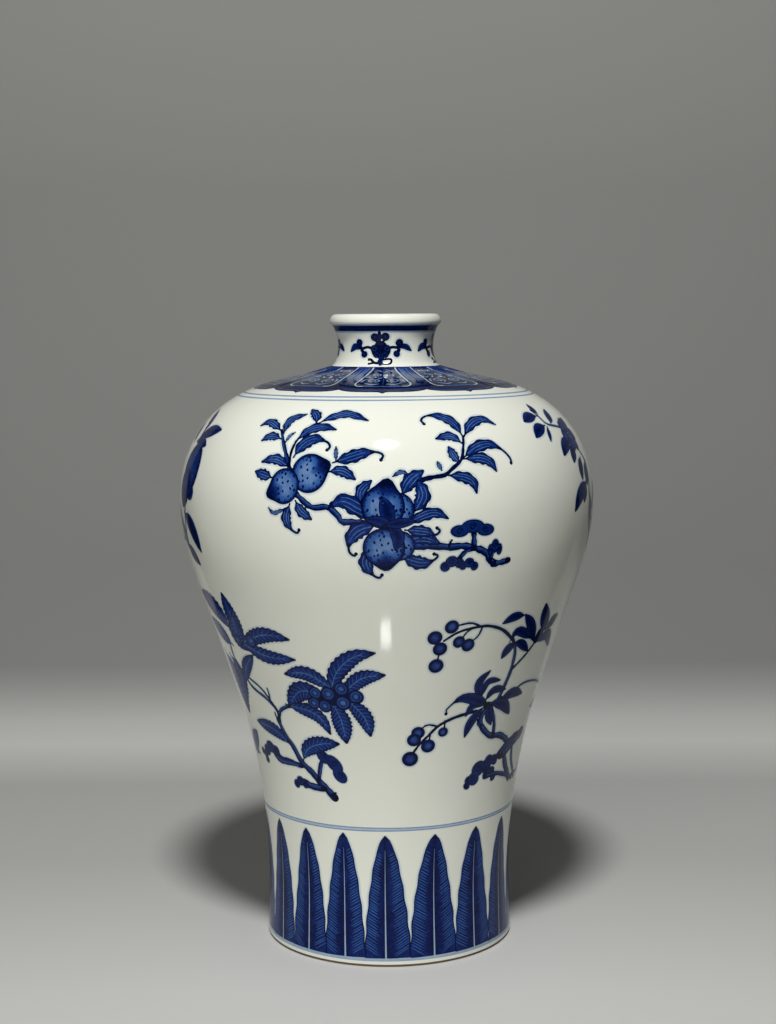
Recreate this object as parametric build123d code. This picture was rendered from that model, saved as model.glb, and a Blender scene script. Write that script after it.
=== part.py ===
from build123d import *
import math
import os

# Meiping vase of blue-and-white porcelain, in millimetres, +Z up.
# The origin is the centre of the foot, on the surface that the vase stands on.

# Radii of the glazed outside, from the foot up
foot_radius = 65.3
waist_radius = 64.7
flank_radius = 82.0
belly_radius = 108.85
shoulder_radius = 78.0
collar_radius = 31.0
neck_radius = 25.0
throat_radius = 27.3
lip_radius = 29.2
crest_radius = 26.0

# Rise from each level of the outside to the next, from the ground up
bare_rim = 1.4
waist_rise = 24.6
flank_rise = 112.0
swell_rise = 58.0
belly_rise = 39.0
shoulder_rise = 53.0
collar_rise = 13.7
neck_rise = 11.3
throat_rise = 10.2
lip_rise = 2.9
crest_rise = 3.9

# How far the outside leans from upright where the shoulder and the collar end, in degrees
shoulder_lean = -62.0
collar_lean = -76.0

# Thrown walls, mouth and floor
wall = 5.2
mouth_radius = 21.0
floor_thickness = 8.5
floor_bevel = 9.0

# Foot ring and recessed base
foot_ring_width = 8.0
foot_bevel = 1.0
recess_depth = 6.5

# Glaze coats, and the luted seams between the thrown sections
glaze = 0.5
slip = 0.5
seam_bevel = 25.0

UPRIGHT = Vector(0, 1)
INWARD = Vector(-1, 0)


def leaning(lean):
    """The way an outline runs that leans so many degrees outwards from upright."""
    turn = math.radians(lean)
    return Vector(math.sin(turn), math.cos(turn))


def inside(station, depth):
    """Where a station, a point and the run of the outline there, lies so deep in the wall."""
    point, run = station
    return point + Vector(-run.Y, run.X) * depth


def line_to(station, end):
    """The station at the end of a straight stretch."""
    run = (end - station[0]).normalized()
    return end, run


def arc_to(station, end):
    """The station at the end of one arc that leaves a station along its run."""
    point, run = station
    chord = (end - point).normalized()
    return end, chord * (2 * chord.dot(run)) - run


def biarc_to(station, end, end_run):
    """The stations of two arcs that leave along one run, arrive along another and meet smoothly."""
    start, run = station
    gap = end - start
    across = gap.dot(run + end_run)
    square = 2 * (1 - run.dot(end_run))
    reach = (math.sqrt(across ** 2 + square * gap.dot(gap)) - across) / square
    middle = (start + end + (run - end_run) * reach) * 0.5
    return [arc_to(station, middle), (end, end_run)]


def stretch(chain, depth):
    """The lines and arcs through a chain of stations, all moved the same depth into the wall."""
    edges = []
    for start, end in zip(chain, chain[1:]):
        a = inside(start, depth)
        b = inside(end, depth)
        if (end[1] - start[1]).length < 1e-9:
            edges.append(Line(a, b))
        else:
            edges.append(TangentArc(a, b, tangent=start[1]))
    return edges


# Levels, each from the one below
waist_level = bare_rim + waist_rise
flank_level = waist_level + flank_rise
swell_level = flank_level + swell_rise
belly_level = swell_level + belly_rise
shoulder_level = belly_level + shoulder_rise
collar_level = shoulder_level + collar_rise
neck_level = collar_level + neck_rise
throat_level = neck_level + throat_rise
lip_level = throat_level + lip_rise
crest_level = lip_level + crest_rise
floor_level = recess_depth + floor_thickness

# Outside of the glaze on the body: a plain foot, a hollow flank that runs on straight into the
# swell, a full belly and a sloping shoulder
foot = (Vector(foot_radius, bare_rim), UPRIGHT)
waist = line_to(foot, Vector(waist_radius, waist_level))
foot = (foot[0], waist[1])
flank = arc_to(waist, Vector(flank_radius, flank_level))
swell = (flank[0] + flank[1] * (swell_rise / flank[1].Y), flank[1])
belly = Vector(belly_radius, belly_level)
shoulder = Vector(shoulder_radius, shoulder_level)
collar = Vector(collar_radius, collar_level)
body = [waist, flank, swell] + biarc_to(swell, belly, UPRIGHT)
body += biarc_to(body[-1], shoulder, leaning(shoulder_lean))
body += biarc_to(body[-1], collar, leaning(collar_lean))

# Outside of the glaze on the neck: a hollow neck, a throat and a rolled lip
neck = biarc_to(body[-1], Vector(neck_radius, neck_level), UPRIGHT)
neck.append(arc_to(neck[-1], Vector(throat_radius, throat_level)))
neck += biarc_to(neck[-1], Vector(lip_radius, lip_level), UPRIGHT)
neck += biarc_to(neck[-1], Vector(crest_radius, crest_level), INWARD)
outside = [foot] + body + neck


def hollow(coat):
    """Edges of the inside, from the crest of the lip down to the axis, with a coat on its clay."""
    depth = glaze + wall + coat
    bore = mouth_radius + glaze - coat
    crest = inside(outside[-1], glaze - coat)
    bend = crest.X - bore
    mouth = Vector(bore, crest.Y - bend)
    ceiling = inside(body[-1], depth)
    slope = body[-1][1]
    corner = ceiling + slope * ((bore - ceiling.X) / slope.X)
    wall_end = inside(body[0], depth)
    floor = floor_level + coat
    return [
        TangentArc(crest, mouth, tangent=INWARD),
        Line(mouth, corner),
        Line(corner, ceiling),
        *stretch(body, depth),
        Polyline(wall_end, (wall_end.X - floor_bevel, floor), (0, floor)),
    ]


def recess(coat):
    """Edges of the recess in the base, from the bare rim to the axis, with a coat on its clay."""
    side = foot_radius - glaze - foot_ring_width - coat
    ceiling = recess_depth - coat
    return Polyline((side, bare_rim), (side, ceiling), (0, ceiling))


def turned(section):
    """A solid of revolution from its section."""
    return revolve(Plane.XZ * section, Axis.Z)


# Section through all the clay, before it is parted at the seams
clay_foot = inside(foot, glaze)
recess_radius = foot_radius - glaze - foot_ring_width
foot_ring = Polyline(
    (recess_radius, bare_rim),
    (recess_radius, foot_bevel),
    (recess_radius + foot_bevel, 0),
    (clay_foot.X - foot_bevel, 0),
    (clay_foot.X, foot_bevel),
    clay_foot,
)
core = Line((0, recess_depth), (0, floor_level))
clay = make_face([*stretch(outside, glaze), *hollow(0), core, recess(0), foot_ring])


def seam(station):
    """The bevelled strip that a luted seam takes out of the wall at a station."""
    middle = inside(station, glaze + wall / 2)
    lean = math.degrees(math.atan2(station[1].Y, station[1].X)) - 90
    return Pos(middle.X, middle.Y) * Rot(0, 0, lean + seam_bevel) * Rectangle(3 * wall, slip)


body_seam = seam(flank)
neck_seam = seam(body[-1])
lower, upper, top = (clay - body_seam - neck_seam).faces().sort_by(Axis.Y)

# Section through each coat of glaze
outer_coat = make_face([
    *stretch(outside, 0),
    *stretch(outside, glaze),
    Line(foot[0], clay_foot),
    Line(outside[-1][0], inside(outside[-1], glaze)),
])
inner_coat = make_face([
    *hollow(0),
    *hollow(glaze),
    Line(inside(outside[-1], 0), inside(outside[-1], glaze)),
    Line((0, floor_level), (0, floor_level + glaze)),
])
base_coat = make_face([
    recess(0),
    recess(glaze),
    Line((recess_radius, bare_rim), (recess_radius - glaze, bare_rim)),
    Line((0, recess_depth), (0, recess_depth - glaze)),
])

nodes = {
    "lower_body": lower,
    "body_slip_seam": clay & body_seam,
    "upper_body": upper,
    "neck_slip_seam": clay & neck_seam,
    "neck_and_lip": top,
    "inner_glaze": inner_coat,
    "base_glaze": base_coat,
    "outer_glaze": outer_coat,
}

os.makedirs("parts", exist_ok=True)
for name, section in nodes.items():
    export_step(turned(section), f"parts/{name}.step")
print(f"height {crest_level:.2f} mm, widest {2 * belly_radius:.2f} mm")
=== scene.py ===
import math
import random

import bpy
import numpy as np
from mathutils import Matrix, Vector
from mathutils.geometry import delaunay_2d_cdt


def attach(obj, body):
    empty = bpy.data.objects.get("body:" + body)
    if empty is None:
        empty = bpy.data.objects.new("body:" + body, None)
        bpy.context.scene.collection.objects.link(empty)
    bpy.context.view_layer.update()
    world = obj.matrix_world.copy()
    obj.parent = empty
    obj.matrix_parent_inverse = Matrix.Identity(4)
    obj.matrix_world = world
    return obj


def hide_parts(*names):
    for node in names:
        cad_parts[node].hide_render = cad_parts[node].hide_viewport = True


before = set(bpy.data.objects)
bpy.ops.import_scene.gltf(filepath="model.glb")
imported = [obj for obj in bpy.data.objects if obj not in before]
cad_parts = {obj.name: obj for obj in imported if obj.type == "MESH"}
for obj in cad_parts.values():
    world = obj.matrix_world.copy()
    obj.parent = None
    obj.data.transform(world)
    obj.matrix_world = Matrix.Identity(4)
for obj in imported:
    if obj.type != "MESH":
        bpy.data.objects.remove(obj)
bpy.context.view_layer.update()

# The view. The eye stands level with the lip, about a metre off, and looks a little down on the belly.
# The painter's places below are read in pixels of the photograph, 776 wide and 1024 high, through this eye.
MM = 0.001
picture = (776, 1024)
eye = Vector((0.7, -955.0, 330.5))
look_down = 0.1095
lean_aside = -0.0068
focal_pixels = 1812.5
sensor_width = 36.0


def put(name, data):
    """A new object in the scene."""
    thing = bpy.data.objects.new(name, data)
    bpy.context.scene.collection.objects.link(thing)
    return thing


view = bpy.data.cameras.new("view")
view.sensor_width = sensor_width
view.lens = focal_pixels * sensor_width / max(picture)
view.clip_start = 0.05
view.clip_end = 30.0
camera = put("camera", view)
aim = Matrix.Rotation(math.pi / 2 - look_down, 4, "X") @ Matrix.Rotation(lean_aside, 4, "Z")
camera.matrix_world = Matrix.Translation(eye * MM) @ aim
bpy.context.scene.camera = camera


# The clay. Three thrown sections of porcelain and the two seams of slip that lute them together. Only the
# foot ring stays bare, and the fire has toasted it brown. They are the CAD solids, with a mottled biscuit.
biscuit_tan = (0.36, 0.25, 0.15, 1.0)
biscuit_brown = (0.13, 0.085, 0.05, 1.0)
slip_cream = (0.62, 0.56, 0.47, 1.0)
slip_grey = (0.47, 0.43, 0.37, 1.0)
blotch_scale = 60.0
biscuit_grit = 1800.0
slip_grit = 2600.0
grit_strength = 0.5
grit_depth = 0.0001
biscuit_roughness = 0.72


def empty_material(name):
    """A new material, its nodes and links, and its shader."""
    material = bpy.data.materials.new(name)
    material.use_nodes = True
    tree = material.node_tree
    return material, tree.nodes, tree.links, tree.nodes["Principled BSDF"]


def noise(nodes, links, scale, detail=3.0, roughness=0.55):
    """The factor of a noise on Object coordinates, with its scale in grains per metre."""
    places = nodes.new("ShaderNodeTexCoord")
    grain = nodes.new("ShaderNodeTexNoise")
    grain.inputs["Scale"].default_value = scale
    grain.inputs["Detail"].default_value = detail
    grain.inputs["Roughness"].default_value = roughness
    links.new(places.outputs["Object"], grain.inputs["Vector"])
    return grain.outputs["Fac"]


def feed(links, socket, value):
    """Gives a socket a number or a colour, or links another socket to it."""
    if isinstance(value, (float, tuple)):
        socket.default_value = value
    else:
        links.new(value, socket)


def blend(nodes, links, factor, first, second, kind="MIX"):
    """The colour that lies between two colours by a factor."""
    mix = nodes.new("ShaderNodeMix")
    mix.data_type = "RGBA"
    mix.blend_type = kind
    colours = [socket for socket in mix.inputs if socket.type == "RGBA"]
    for socket, value in zip((mix.inputs[0], *colours), (factor, first, second)):
        feed(links, socket, value)
    return next(socket for socket in mix.outputs if socket.type == "RGBA")


def bump(nodes, links, height, strength, depth, under=None):
    """A normal roughened by a height, in metres of depth."""
    relief = nodes.new("ShaderNodeBump")
    relief.inputs["Strength"].default_value = strength
    relief.inputs["Distance"].default_value = depth
    links.new(height, relief.inputs["Height"])
    if under is not None:
        links.new(under, relief.inputs["Normal"])
    return relief.outputs["Normal"]


def bare_clay(name, pale, dark, grit):
    """Fired clay without glaze: blotched where the flame touched it, and gritty."""
    material, nodes, links, shader = empty_material(name)
    blotches = noise(nodes, links, blotch_scale)
    links.new(blend(nodes, links, blotches, pale, dark), shader.inputs["Base Color"])
    shader.inputs["Roughness"].default_value = biscuit_roughness
    gritty = bump(nodes, links, noise(nodes, links, grit), grit_strength, grit_depth)
    links.new(gritty, shader.inputs["Normal"])
    return material


biscuit = bare_clay("porcelain_clay", biscuit_tan, biscuit_brown, biscuit_grit)
slip = bare_clay("luting_slip", slip_cream, slip_grey, slip_grit)
for node, clay in (
    ("lower_body", biscuit),
    ("upper_body", biscuit),
    ("neck_and_lip", biscuit),
    ("body_slip_seam", slip),
    ("neck_slip_seam", slip),
):
    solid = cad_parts[node]
    solid.data.materials.clear()
    solid.data.materials.append(clay)


# The clear glaze inside and under the base. A thin glass, poured over the clay, that fires to a faintly
# green white. Each coat is a flat sheet, wrapped on its turned outline as the potter's wheel would turn it.
glaze_white = (0.81, 0.815, 0.745, 1.0)
glaze_green = (0.76, 0.785, 0.705, 1.0)
cloud_scale = 26.0
glaze_roughness = 0.09
glaze_ior = 1.52
glaze_gloss = 0.14
ripple_scale = 38.0
ripple_strength = 0.35
ripple_depth = 0.0006
pitting_scale = 420.0
pitting_strength = 0.10
pitting_depth = 0.0001
coat_thickness = 0.42
columns = 180
plain_row = 4.0
weld = 0.002
inner_half = 138.0


def turned_rings(node, facing):
    """Radius and height of each ring of a turned CAD skin, in millimetres, from its lowest ring up.

    A triangle belongs to the skin if facing, told its outward and upward lean, says so."""
    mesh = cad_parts[node].data
    rings = set()
    for face in mesh.polygons:
        reach = math.hypot(face.center.x, face.center.y)
        outward = (face.normal.x * face.center.x + face.normal.y * face.center.y) / reach
        if facing(outward, face.normal.z):
            for index in face.vertices:
                place = mesh.vertices[index].co / MM
                rings.add((round(math.hypot(place.x, place.y), 2), round(place.z, 2)))
    return sorted(rings, key=lambda ring: ring[1])


def outline_curve(name, points):
    """A curve object through the points of an outline, smooth where the outline is smooth."""
    sharpest = math.cos(math.radians(24))
    closest = 0.15
    kept = [points[0]]
    for point in points[1:]:
        if math.dist(point, kept[-1]) > closest:
            kept.append(point)
    spots = np.array(kept)
    steps = np.diff(spots, axis=0)
    lengths = np.linalg.norm(steps, axis=1)
    ways = steps / lengths[:, None]
    curve = bpy.data.curves.new(name, "CURVE")
    curve.dimensions = "3D"
    curve.resolution_u = 6
    spline = curve.splines.new("BEZIER")
    spline.bezier_points.add(len(spots) - 1)
    for i, knot in enumerate(spline.bezier_points):
        back, ahead = max(i - 1, 0), min(i, len(ways) - 1)
        run = ways[back] * lengths[ahead] + ways[ahead] * lengths[back]
        run /= np.linalg.norm(run)
        smooth_here = ways[back] @ ways[ahead] > sharpest
        arriving = run if smooth_here else ways[back]
        leaving = run if smooth_here else ways[ahead]
        before = spots[i] - arriving * lengths[back] / 3
        after = spots[i] + leaving * lengths[ahead] / 3
        knot.handle_left_type = "FREE"
        knot.handle_right_type = "FREE"
        knot.co = (spots[i][0] * MM, 0, spots[i][1] * MM)
        knot.handle_left = (before[0] * MM, 0, before[1] * MM)
        knot.handle_right = (after[0] * MM, 0, after[1] * MM)
    return bpy.data.objects.new(name, curve)


def curve_points(outline):
    """Radius, height and length along an outline, in millimetres, at the points that Blender gives it."""
    mesh = bpy.data.meshes.new_from_object(outline)
    spots = np.array([(v.co.x / MM, v.co.z / MM) for v in mesh.vertices])
    bpy.data.meshes.remove(mesh)
    along = np.concatenate([[0], np.cumsum(np.linalg.norm(np.diff(spots, axis=0), axis=1))])
    return spots[:, 0], spots[:, 1], along


def sum_of(nodes, links, operation, *values):
    """The result of a sum on numbers and sockets."""
    node = nodes.new("ShaderNodeMath")
    node.operation = operation
    for socket, value in zip(node.inputs, values):
        feed(links, socket, value)
    return node.outputs[0]


def wrapping_tree():
    """Geometry nodes that wrap a flat sheet on a turned outline.

    A sheet's X is the angle from the front, Y the length along the outline and Z the height above it."""
    tree = bpy.data.node_groups.new("wrap_on_outline", "GeometryNodeTree")
    kinds = {"Sheet": "Geometry", "Outline": "Object", "Weld": "Float", "Finish": "Material"}
    sockets = {}
    for name, kind in kinds.items():
        made = tree.interface.new_socket(name=name, in_out="INPUT", socket_type="NodeSocket" + kind)
        sockets[name] = made.identifier
    tree.interface.new_socket(name="Coat", in_out="OUTPUT", socket_type="NodeSocketGeometry")
    nodes, links = tree.nodes, tree.links
    given = nodes.new("NodeGroupInput")
    result = nodes.new("NodeGroupOutput")

    def math_node(operation, *values):
        return sum_of(nodes, links, operation, *values)

    def parts(vector):
        node = nodes.new("ShaderNodeSeparateXYZ")
        links.new(vector, node.inputs[0])
        return node.outputs

    def vector(x, y, z):
        node = nodes.new("ShaderNodeCombineXYZ")
        for socket, value in zip(node.inputs, (x, y, z)):
            links.new(value, socket)
        return node.outputs[0]

    angle, length, height = parts(nodes.new("GeometryNodeInputPosition").outputs[0])
    shape = nodes.new("GeometryNodeObjectInfo")
    links.new(given.outputs["Outline"], shape.inputs["Object"])
    sample = nodes.new("GeometryNodeSampleCurve")
    sample.mode = "LENGTH"
    links.new(shape.outputs["Geometry"], sample.inputs["Curves"])
    links.new(length, sample.inputs["Length"])
    reach, _, level = parts(sample.outputs["Position"])
    outward, _, upward = parts(sample.outputs["Tangent"])
    sine = math_node("SINE", angle)
    cosine = math_node("MULTIPLY", math_node("COSINE", angle), -1.0)
    radius = math_node("ADD", reach, math_node("MULTIPLY", height, upward))
    raised = math_node("SUBTRACT", level, math_node("MULTIPLY", height, outward))
    place = nodes.new("GeometryNodeSetPosition")
    spot = vector(math_node("MULTIPLY", radius, sine), math_node("MULTIPLY", radius, cosine), raised)
    links.new(spot, place.inputs["Position"])
    normal = vector(
        math_node("MULTIPLY", upward, sine),
        math_node("MULTIPLY", upward, cosine),
        math_node("MULTIPLY", outward, -1.0),
    )
    lean = nodes.new("GeometryNodeStoreNamedAttribute")
    lean.data_type = "FLOAT_VECTOR"
    lean.domain = "POINT"
    lean.inputs["Name"].default_value = "turned_normal"
    links.new(given.outputs["Sheet"], lean.inputs["Geometry"])
    links.new(normal, lean.inputs["Value"])
    links.new(lean.outputs[0], place.inputs["Geometry"])
    close = nodes.new("GeometryNodeMergeByDistance")
    links.new(place.outputs[0], close.inputs["Geometry"])
    links.new(given.outputs["Weld"], close.inputs["Distance"])
    nothing = 1e-7
    on_seam = math_node("LESS_THAN", math_node("ABSOLUTE", angle), nothing)
    behind = math_node("GREATER_THAN", length, -nothing)
    links.new(math_node("MULTIPLY", on_seam, behind), close.inputs["Selection"])
    realize = nodes.new("GeometryNodeRealizeInstances")
    links.new(close.outputs[0], realize.inputs[0])
    finish = nodes.new("GeometryNodeSetMaterial")
    links.new(realize.outputs[0], finish.inputs["Geometry"])
    links.new(given.outputs["Finish"], finish.inputs["Material"])
    links.new(finish.outputs[0], result.inputs["Coat"])
    return tree, sockets


wrap, wrap_sockets = wrapping_tree()


def rows_between(bottom, top, step):
    """Evenly spaced lengths along an outline, no further apart than a step."""
    return np.linspace(bottom, top, max(2, math.ceil((top - bottom) / step) + 1))


def sheet_grid(rows, height, start):
    """Points of a flat grid, one full turn wide, and its faces, numbered from a start."""
    angles = np.linspace(-math.pi, math.pi, columns + 1)
    points = [(a, y * MM, height * MM) for y in rows for a in angles]
    faces = []
    for j in range(len(rows) - 1):
        for i in range(columns):
            corner = start + j * (columns + 1) + i
            faces.append((corner, corner + 1, corner + columns + 2, corner + columns + 1))
    return points, faces


def wrapped_coat(name, outline, skin_points, skin_faces, tones, edges, back_rows, finish, node):
    """A closed coat: its painted skin, a plain back and the two walls between them, on its outline.

    edges are the skin's bottom and top rows of points, which the walls join to the back's rows. A coat
    that closes on its axis has none there."""
    back_points, back_faces = sheet_grid(back_rows, -coat_thickness, len(skin_points))
    back_start, last_row = len(skin_points), len(skin_points) + (len(back_rows) - 1) * (columns + 1)
    walls = []
    for i in range(columns):
        low, high = back_start + i, last_row + i
        if edges[0]:
            walls.append((edges[0][i], low, low + 1, edges[0][i + 1]))
        if edges[1]:
            walls.append((edges[1][i + 1], high + 1, high, edges[1][i]))
    faces = list(skin_faces) + [face[::-1] for face in back_faces] + walls
    sides = [1] * len(skin_faces) + [-1] * len(back_faces) + [0] * len(walls)
    flat = bpy.data.meshes.new(name)
    flat.from_pydata(list(skin_points) + back_points, [], faces)
    side = flat.attributes.new("side", "INT", "FACE")
    side.data.foreach_set("value", sides)
    cobalt = flat.attributes.new("cobalt", "FLOAT", "CORNER")
    cobalt.data.foreach_set("value", list(tones) + [0.0] * (len(flat.loops) - len(tones)))
    lay_out(flat, sides)
    piece = put(name, flat)
    wrapping = piece.modifiers.new("wrapping", "NODES")
    wrapping.node_group = wrap
    wrapping[wrap_sockets["Outline"]] = outline
    wrapping[wrap_sockets["Weld"]] = weld * MM
    wrapping[wrap_sockets["Finish"]] = finish
    coat = bpy.data.meshes.new_from_object(piece.evaluated_get(bpy.context.evaluated_depsgraph_get()))
    piece.modifiers.remove(wrapping)
    piece.data = coat
    bpy.data.meshes.remove(flat)
    coat.name = name
    shade_by_outline(coat)
    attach(piece, "root")
    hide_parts(node)
    return piece


def read(items, field, kind=float, wide=1):
    """A field of a mesh's points, corners or faces, as an array with one row for each."""
    values = np.zeros(len(items) * wide, dtype=kind)
    items.foreach_get(field, values)
    return values.reshape(-1, wide) if wide > 1 else values


def lay_out(flat, sides):
    """A layout for the coat's colours: its plain back, its walls, and the front and rear of its skin."""
    border = 0.004
    back_rise = 0.030
    wall_strip = 0.042
    front_strip = 0.062
    rear_strip = 0.537
    strip_rise = 0.461
    upper_wall = 0.005
    wall_rise = 0.003
    starts = read(flat.polygons, "loop_start", int)
    sizes = read(flat.polygons, "loop_total", int)
    corner_points = read(flat.loops, "vertex_index", int)
    angle, length, height = read(flat.vertices, "co", wide=3)[corner_points].T
    middle = np.repeat(np.add.reduceat(angle, starts) / sizes, sizes)
    side = np.repeat(sides, sizes)
    rise = (length - length.min()) / np.ptp(length)
    rear = np.abs(middle) > math.pi / 2
    round_rear = np.where(middle < 0, angle + 2 * math.pi, angle) - math.pi / 2
    across = np.where(rear, round_rear, angle + math.pi / 2) / math.pi
    skin_up = np.where(rear, rear_strip, front_strip) + strip_rise * rise
    wall_up = wall_strip + upper_wall * (rise > 0.5) + wall_rise * (height > -MM * coat_thickness / 2)
    u = np.where(side == 1, across, (angle + math.pi) / (2 * math.pi))
    v = np.where(side == 1, skin_up, np.where(side == 0, wall_up, border + back_rise * rise))
    layout = flat.uv_layers.new(name="OFBake")
    layout.data.foreach_set("uv", np.column_stack([border + (1 - 2 * border) * u, v]).ravel())


def shade_by_outline(coat):
    """Gives each corner of a wrapped coat the normal of its outline, so that the gloss runs smooth."""
    leans = read(coat.attributes["turned_normal"].data, "vector", wide=3)
    sides = read(coat.attributes["side"].data, "value", int)
    sizes = read(coat.polygons, "loop_total", int)
    corner_points = read(coat.loops, "vertex_index", int)
    corner_sides = np.repeat(sides, sizes)[:, None]
    flat_normals = np.repeat(read(coat.polygons, "normal", wide=3), sizes, axis=0)
    normals = np.where(corner_sides == 0, flat_normals, leans[corner_points] * corner_sides)
    coat.polygons.foreach_set("use_smooth", sides != 0)
    coat.normals_split_custom_set(normals.tolist())
    coat.attributes.remove(coat.attributes["turned_normal"])
    coat.attributes.remove(coat.attributes["side"])


def glassy(nodes, links, shader):
    """The gloss of a fired glaze, with the slow ripple and the fine pitting of its surface."""
    shader.inputs["Roughness"].default_value = glaze_roughness
    shader.inputs["IOR"].default_value = glaze_ior
    shader.inputs["Specular IOR Level"].default_value = glaze_gloss
    waves = noise(nodes, links, ripple_scale, 1.0)
    pits = noise(nodes, links, pitting_scale, 2.0)
    rippled = bump(nodes, links, waves, ripple_strength, ripple_depth)
    pitted = bump(nodes, links, pits, pitting_strength, pitting_depth, rippled)
    links.new(pitted, shader.inputs["Normal"])


def clear_glaze(name):
    """Glaze over plain clay: clouds of two near whites."""
    material, nodes, links, shader = empty_material(name)
    clouds = noise(nodes, links, cloud_scale)
    links.new(blend(nodes, links, clouds, glaze_white, glaze_green), shader.inputs["Base Color"])
    glassy(nodes, links, shader)
    return material


def plain_coat(name, node, outline, start, end):
    """A coat with no painting, between two lengths along its outline."""
    rows = rows_between(start, end, plain_row)
    points, faces = sheet_grid(rows, 0.0, 0)
    edges = [range(columns + 1), range(len(points) - columns - 1, len(points))]
    radii, _, lengths = curve_points(outline)
    for k, end_length in enumerate((start, end)):
        if np.interp(end_length, lengths, radii) < weld:
            edges[k] = None
    return wrapped_coat(name, outline, points, faces, [], edges, rows, clear, node)


clear = clear_glaze("clear_glaze")
inner_rings = turned_rings("inner_glaze", lambda out, up: out < -0.05 or (up > 0.9 and abs(out) < 0.05))
inner_outline = outline_curve("inner_outline", inner_rings[::-1] + [(0.0, inner_rings[0][1])])
_, inner_level, inner_along = curve_points(inner_outline)
halfway = float(np.interp(-inner_half, -inner_level, inner_along))
plain_coat("inner_upper_glaze", "inner_glaze", inner_outline, 0.0, halfway)
plain_coat("inner_lower_glaze", "inner_glaze", inner_outline, halfway, inner_along[-1])
base_rings = turned_rings("base_glaze", lambda out, up: out < -0.5)
base_outline = outline_curve("base_outline", [(0.0, base_rings[-1][1])] + base_rings[::-1])
_, _, base_along = curve_points(base_outline)
plain_coat("base_glaze_coat", "base_glaze", base_outline, 0.0, base_along[-1])


# The painted coat, seen from outside. Cobalt is brushed on the raw clay, and the dipped glaze seals it.
# Each band of painting is a sheet cut along its brush strokes, so that every stroke keeps a clean edge.
# The tones of cobalt run from bare white to its darkest, as they show through the glaze.
cobalt_depths = (
    (0.00, (1.00, 1.00, 1.00, 1.0)),
    (0.12, (0.70, 0.79, 0.92, 1.0)),
    (0.30, (0.29, 0.42, 0.69, 1.0)),
    (0.50, (0.048, 0.142, 0.47, 1.0)),
    (0.70, (0.006, 0.029, 0.210, 1.0)),
    (0.86, (0.0015, 0.008, 0.090, 1.0)),
    (1.00, (0.0006, 0.003, 0.030, 1.0)),
)
outline_tone = 0.96
vein_tone = 0.46
vein_width = 0.32
bleed = 1.35
bleed_tone = 0.17
leaf_edge = 0.50
leaf_fullness = 0.90
leaf_swell = 0.70
leaf_taper = 0.85
leaf_peak = 0.344
leaf_points = 25
plain_blade = (1.0, 0.24)
hooked_blade = (0.76, 0.56)
stalk_share = 0.10
stalk_half = 0.40
peach_wash = (0.66, 0.82)
peach_veins = ((0.06, 0.16, 0.82), (0.50, 0.28, 0.72), (-0.46, 0.32, 0.76))
bark_tones = (0.80, 0.56)
bark_step = 1.8
bark_least = 1.2
grain_scale = 620.0
grain_share = 0.34
pool_scale = 120.0
pool_share = 0.28
thin_paint = 0.70
sight_near = 820.0
sight_far = 985.0
sight_steps = 1200
TURN = 100.0

outer_rings = turned_rings("outer_glaze", lambda out, up: out + 0.3 * up > 0)
outer_outline = outline_curve("outer_outline", outer_rings)
reach, level, along = curve_points(outer_outline)


def length_at(height):
    """How far up the outline a height is."""
    return float(np.interp(height, level, along))


def radius_at(length):
    """Radius of the coat at lengths up its outline."""
    return np.interp(length, along, reach)


def spot(pixel):
    """A pixel's place on the painter's sheet: TURN times its angle, and its length up the outline."""
    across, down = pixel[0] - picture[0] / 2, pixel[1] - picture[1] / 2
    right = math.cos(lean_aside) * across + math.sin(lean_aside) * down
    below = math.cos(lean_aside) * down - math.sin(lean_aside) * across
    way = np.array([
        right / focal_pixels,
        math.cos(look_down) - math.sin(look_down) * below / focal_pixels,
        -math.sin(look_down) - math.cos(look_down) * below / focal_pixels,
    ])
    steps = np.linspace(sight_near, sight_far, sight_steps)
    x, y, z = np.array(eye)[:, None] + way[:, None] * steps
    gap = np.hypot(x, y) - np.interp(z, level, reach)
    hit = int(np.argmax(gap < 0)) if (gap < 0).any() else int(np.argmin(gap))
    return TURN * math.atan2(x[hit], -y[hit]), length_at(z[hit])


def photo_line(pixels, steps=6):
    """A round line through pixels of the photograph, on the painter's sheet."""
    return smooth([spot(pixel) for pixel in pixels], steps)


def smooth(points, steps=6):
    """A round line through a few points, with so many steps from each to the next."""
    knots = np.array(points, dtype=float)
    ends = np.vstack([2 * knots[0] - knots[1], knots, 2 * knots[-1] - knots[-2]])
    line = []
    for a, b, c, d in zip(ends, ends[1:], ends[2:], ends[3:]):
        for t in np.arange(steps) / steps:
            bend = (2 * a - 5 * b + 4 * c - d) * t ** 2 + (3 * b - a - 3 * c + d) * t ** 3
            line.append(b + ((c - a) * t + bend) / 2)
    return np.array(line + [knots[-1]])


def lengths_of(path):
    """How far along a path each of its points is, in millimetres of the coat."""
    steps = np.diff(path, axis=0)
    steps[:, 0] *= radius_at(path[1:, 1]) / TURN
    return np.concatenate([[0], np.cumsum(np.linalg.norm(steps, axis=1))])


def even(path, count):
    """A path with its points evenly spaced."""
    lengths = lengths_of(path)
    places = np.linspace(0, lengths[-1], count)
    return np.column_stack([np.interp(places, lengths, path[:, k]) for k in (0, 1)])


def beside(path, offset):
    """The points so many millimetres to the left of a path's points."""
    scale = radius_at(path[:, 1]) / TURN
    run = np.gradient(path, axis=0)
    run[:, 0] *= scale
    run /= np.linalg.norm(run, axis=1)[:, None]
    aside = np.column_stack([-run[:, 1] / scale, run[:, 0]])
    return path + aside * np.broadcast_to(offset, len(path))[:, None]


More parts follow.
